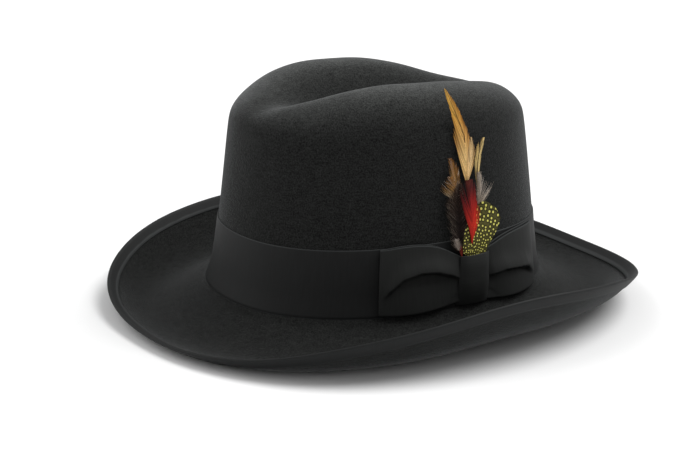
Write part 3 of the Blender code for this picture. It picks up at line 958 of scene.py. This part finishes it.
barbs(small_hackle, SMALL_VANE, SMALL_TINTS, out=3.0, count=200, lean=24, width=0.22, seed=14,
      lock=4, clump=0.4, ragged=0.5, fluff=0.28, streak=(0.5, 1.35), pale="#d8ccbc", pale_share=0.12)
barbs(small_hackle, SMALL_FLUFF, SMALL_TINTS, out=3.2, count=110, lean=56, width=0.17, seed=24,
      lock=4, clump=0.5, ragged=0.4, fluff=0.34, segments=4, streak=(0.55, 1.2), pale="#e4dacc",
      pale_share=0.3)
shaft(small_hackle, SMALL_VANE, out=3.0, colour="#3c2812", width=0.5, start=0.2, end=1.0)
small_barbs = barb_material("small gold hackle", 0.6)[0]
small_hackle.finish("small_gold_hackle", "hackle_small", small_barbs)

# Brown plume: a soft, downy body feather towards the front, fixed as the others are, with a light
# tuft and a few dyed red barbs over its foot. Its fine loose barbs swallow the light, so it looks
# very dark and quite matt, and only its outer tips are bleached.

BROWN_VANE = (
    Vane(32.5, -11.3, -8.6, -7.0),
    Vane(36.0, -13.6, -9.0, -4.8),
    Vane(40.0, -14.4, -9.2, -3.6),
    Vane(45.0, -13.6, -9.0, -2.6),
    Vane(49.0, -15.2, -9.0, -2.3),
    Vane(54.0, -15.8, -9.0, -3.0),
    Vane(58.5, -16.2, -9.0, -3.9),
    Vane(63.5, -16.6, -9.2, -4.6),
    Vane(69.0, -13.4, -8.6, -5.0),
    Vane(74.0, -8.0, -7.0, -5.8),
)
BROWN_TINTS = (
    Tint(0.0, "#2e2420", "#1c1512", "#30201a"),
    Tint(0.45, "#2c2420", "#1a1412", "#2a1e1a"),
    Tint(1.0, "#3c2c22", "#241a16", "#3a241e"),
)
TUFT_VANE = (
    Vane(35.0, -12.0, -10.4, -9.4),
    Vane(38.0, -14.2, -11.6, -9.4),
    Vane(42.5, -13.4, -12.4, -11.2),
)
TUFT_TINTS = (Tint(0.0, "#5c4e46", "#84766c", "#6c5e54"), Tint(1.0, "#a89c92", "#bcb0a6", "#8c7e72"))
RED_TUFT_VANE = (
    Vane(31.5, -10.2, -9.0, -8.0),
    Vane(34.5, -10.8, -9.4, -7.4),
    Vane(38.0, -10.2, -9.6, -8.8),
)
RED_TUFT_TINTS = (Tint(0.0, "#4c1a14", "#661f18", "#4c1a14"), Tint(1.0, "#54201a", "#60241c", "#401814"))
plume = Strips()
barbs(plume, BROWN_VANE, BROWN_TINTS, out=3.8, count=620, lean=48, width=0.17, seed=15,
      lock=2, clump=0.25, ragged=0.3, fluff=0.45, segments=4, streak=(0.4, 1.7), pale="#8c8074",
      pale_share=0.3)
barbs(plume, TUFT_VANE, TUFT_TINTS, out=5.2, count=90, lean=34, width=0.15, seed=21,
      lock=2, clump=0.2, fluff=0.34, streak=(0.55, 1.3))
barbs(plume, RED_TUFT_VANE, RED_TUFT_TINTS, out=5.4, count=40, lean=24, width=0.3, seed=22, fluff=0.08)
plume.finish("brown_plume", "plume_brown", barb_material("soft brown plume", 0.9)[0])

# Grey tuft: down from the foot of a body feather, towards the back, fixed as the others are. Its
# barbs have no hooks to hold them together, so it is open, soft and matt, pale at its tips.

DOWN_VANE = (
    Vane(58.0, 5.4, 6.6, 8.6),
    Vane(61.1, 5.6, 7.0, 12.4),
    Vane(64.7, 5.6, 7.6, 15.0),
    Vane(68.4, 5.9, 8.2, 16.2),
    Vane(72.0, 6.4, 8.6, 13.2),
    Vane(75.0, 6.8, 8.0, 10.0),
    Vane(79.0, 7.0, 7.6, 8.4),
)
DOWN_TINTS = (
    Tint(0.0, "#6c6054", "#8a7c6c", "#9a8e82"),
    Tint(0.5, "#7c6e5e", "#a49484", "#c0b4a8"),
    Tint(1.0, "#8e7e6c", "#b0a08c", "#b4a696"),
)
down = Strips()
barbs(down, DOWN_VANE, DOWN_TINTS, out=3.8, count=280, lean=34, width=0.16, seed=16,
      lock=3, clump=0.35, ragged=0.35, fluff=0.36, streak=(0.5, 1.35), pale="#dcd2c8", pale_share=0.25)
down.finish("grey_tuft", "down_grey", barb_material("soft grey down", 0.9)[0])

# Spotted feather: a wide guinea fowl's feather dyed olive, lowest in the spray and tucked behind the
# knot. Its barbs cling into a closed vane, so barbs lie on a closed patch. It is smooth and dull, and
# its white dots took the dye as yellow ones, each with a dark ring.

SPOTTED_VANE = (
    Vane(30.4, -2.6, 1.0, 8.6),
    Vane(31.4, -4.6, 1.3, 9.5),
    Vane(32.8, -7.2, 1.8, 10.1),
    Vane(35.0, -7.4, 2.6, 11.6),
    Vane(38.4, -7.4, 3.8, 14.6),
    Vane(42.6, -6.6, 5.6, 19.1),
    Vane(46.8, -5.1, 7.6, 21.8),
    Vane(48.9, -4.2, 8.4, 22.6),
    Vane(51.4, -2.9, 9.0, 22.0),
    Vane(55.5, 0.2, 9.8, 19.8),
    Vane(57.7, 1.8, 10.0, 17.5),
    Vane(60.2, 5.5, 9.8, 13.6),
    Vane(61.4, 7.6, 9.6, 11.0),
)
SPOTTED_TINTS = (
    Tint(0.0, "#3e3a1c", "#4a4622", "#3e3a1c"),
    Tint(1.0, "#504c26", "#57532a", "#4c4a28"),
)
spotted = Strips()
spotted.patch(SPOTTED_VANE, SPOTTED_TINTS, out=4.7, swell=0.5, rows=44, columns=28)
barbs(spotted, SPOTTED_VANE, SPOTTED_TINTS, out=4.9, count=200, lean=38, width=0.4, seed=18,
      lock=3, clump=0.2, ragged=0.04, segments=6, streak=(0.7, 1.25))

# The dots shrink towards the feather's foot, so they are laid out in rings round a point under it.
# They are drawn as large as the real ones, 1.5 to 2.6 mm apart. Sizes are shares of that step.
DOT_CENTRE = (-6.0 * MM, 10.0 * MM)
DOT_STEP = 0.068
DOT_COLOUR = "#d8d26c"
DOT_SIZE = 0.29
DOT_FADE = 0.12
DOT_SCATTER = 0.55
RING_COLOUR = "#1c1a0c"
RING_SIZE = 0.52
RING_FADE = 0.14
guinea, tree, shader, shade = barb_material("dyed guinea feather", 0.6)
layout = add(tree, "ShaderNodeUVMap", {"uv_map": "dots"}).outputs[0]
dots = add(
    tree,
    "ShaderNodeTexVoronoi",
    {"voronoi_dimensions": "2D"},
    {"Vector": layout, "Scale": 1.0, "Randomness": DOT_SCATTER},
)
ring = add(
    tree,
    "ShaderNodeMapRange",
    inputs={"Value": dots.outputs[0], "From Min": RING_SIZE, "From Max": RING_SIZE - RING_FADE},
)
ringed = add(
    tree,
    "ShaderNodeMix",
    {"data_type": "RGBA"},
    {0: ring.outputs[0], 6: shade.outputs[0], 7: linear(RING_COLOUR)},
)
dot = add(
    tree,
    "ShaderNodeMapRange",
    inputs={"Value": dots.outputs[0], "From Min": DOT_SIZE, "From Max": DOT_SIZE - DOT_FADE},
)
spots = add(
    tree,
    "ShaderNodeMix",
    {"data_type": "RGBA"},
    {0: dot.outputs[0], 6: ringed.outputs[2], 7: linear(DOT_COLOUR)},
)
tree.links.new(spots.outputs[2], shader.inputs["Base Color"])
guinea_piece = spotted.finish("spotted_feather", "feather_spotted", guinea)
layer = guinea_piece.data.uv_layers.new(name="dots")
for corner, vertex in enumerate(guinea_piece.data.loops):
    x, y = spotted.places[vertex.vertex_index]
    ahead = (x - DOT_CENTRE[0], y - DOT_CENTRE[1])
    rings = math.log(math.hypot(*ahead) / MM) / DOT_STEP
    layer.data[corner].uv = (rings, math.atan2(ahead[0], ahead[1]) / DOT_STEP)

# Red feather: a hackle dyed red, in the middle of the spray and over the feathers beside it, fixed
# as they are. The dye took brightly at its right and dark towards its tip, with a dull shine.

RED_VANE = (
    Vane(38.0, -2.0, -1.6, -1.2),
    Vane(44.5, -2.4, -1.2, 0.5),
    Vane(49.5, -3.2, -0.6, 3.8),
    Vane(53.7, -4.6, 0.0, 6.3),
    Vane(58.7, -6.2, -0.4, 4.6),
    Vane(62.8, -7.0, -0.9, 3.8),
    Vane(68.0, -7.8, -1.3, 3.9),
    Vane(71.0, -7.2, -1.5, 3.7),
    Vane(73.5, -5.8, -1.5, 3.2),
    Vane(76.0, -3.4, -1.0, 1.6),
)
RED_TINTS = (
    Tint(0.0, "#8a1c12", "#a0241a", "#9a2016"),
    Tint(0.3, "#7c1c14", "#b8281c", "#dc3824"),
    Tint(0.5, "#6a1812", "#981e18", "#c42c1e"),
    Tint(0.7, "#54161a", "#6c1818", "#8a1e1a"),
    Tint(0.85, "#3c1614", "#4c1816", "#42181a"),
    Tint(1.0, "#4a2018", "#54221a", "#421c16"),
)
red = Strips()
barbs(red, RED_VANE, RED_TINTS, out=5.7, count=300, lean=17, width=0.36, seed=17,
      lock=7, clump=0.5, ragged=0.2, streak=(0.6, 1.35))
red.finish("red_feather", "feather_red", barb_material("dyed red hackle", 0.6)[0])

# Stage: a sheet of matt white paper under the hat and an even white studio round it, a wide window
# light from behind, a weaker one from the left, and the camera where the photograph was taken from.

FLOOR_SIZE = 8.0
WORLD_STRENGTH = 0.5
AZIMUTH = 58.24
ELEVATION = 16.72
DISTANCE = 1.298
TARGET = Vector((-0.00835, -0.01119, 0.04054))
SENSOR_WIDTH = 36.0
LENS = 107.37

bpy.ops.object.select_all(action="DESELECT")
bpy.ops.mesh.primitive_plane_add(size=FLOOR_SIZE)
floor = bpy.context.object
floor.name = "floor"
paper, tree, shader = start_material("matt white paper", 0.9)
shader.inputs["Base Color"].default_value = linear("#eeeeee")
floor.data.materials.append(paper)

world = bpy.data.worlds.new("studio")
world.use_nodes = True
sky = world.node_tree.nodes["Background"]
sky.inputs["Color"].default_value = linear("#ffffff")
sky.inputs["Strength"].default_value = WORLD_STRENGTH
bpy.context.scene.world = world


def direction(azimuth, elevation):
    """From the hat towards an azimuth, counted from the front to the wearer's left, and an elevation."""
    turn = math.radians(azimuth)
    rise = math.radians(elevation)
    return Vector((math.sin(turn) * math.cos(rise), -math.cos(turn) * math.cos(rise), math.sin(rise)))


def far_light(name, azimuth, elevation, spread, strength):
    """A soft light far away, spread over an angle."""
    light = bpy.data.lights.new(name, "SUN")
    light.angle = math.radians(spread)
    light.energy = strength
    lamp = bpy.data.objects.new(name, light)
    lamp.rotation_euler = direction(azimuth, elevation).to_track_quat("Z", "Y").to_euler()
    bpy.context.scene.collection.objects.link(lamp)


far_light("back_window", azimuth=165.0, elevation=55.0, spread=42.0, strength=2.75)
far_light("left_fill", azimuth=315.0, elevation=38.0, spread=60.0, strength=1.0)

camera = bpy.data.cameras.new("camera")
camera.sensor_width = SENSOR_WIDTH
camera.lens = LENS
viewer = bpy.data.objects.new("camera", camera)
back = direction(AZIMUTH, ELEVATION)
viewer.location = TARGET + back * DISTANCE
viewer.rotation_euler = back.to_track_quat("Z", "Y").to_euler()
bpy.context.scene.collection.objects.link(viewer)
bpy.context.scene.camera = viewer
bpy.context.scene.view_settings.view_transform = "Standard"
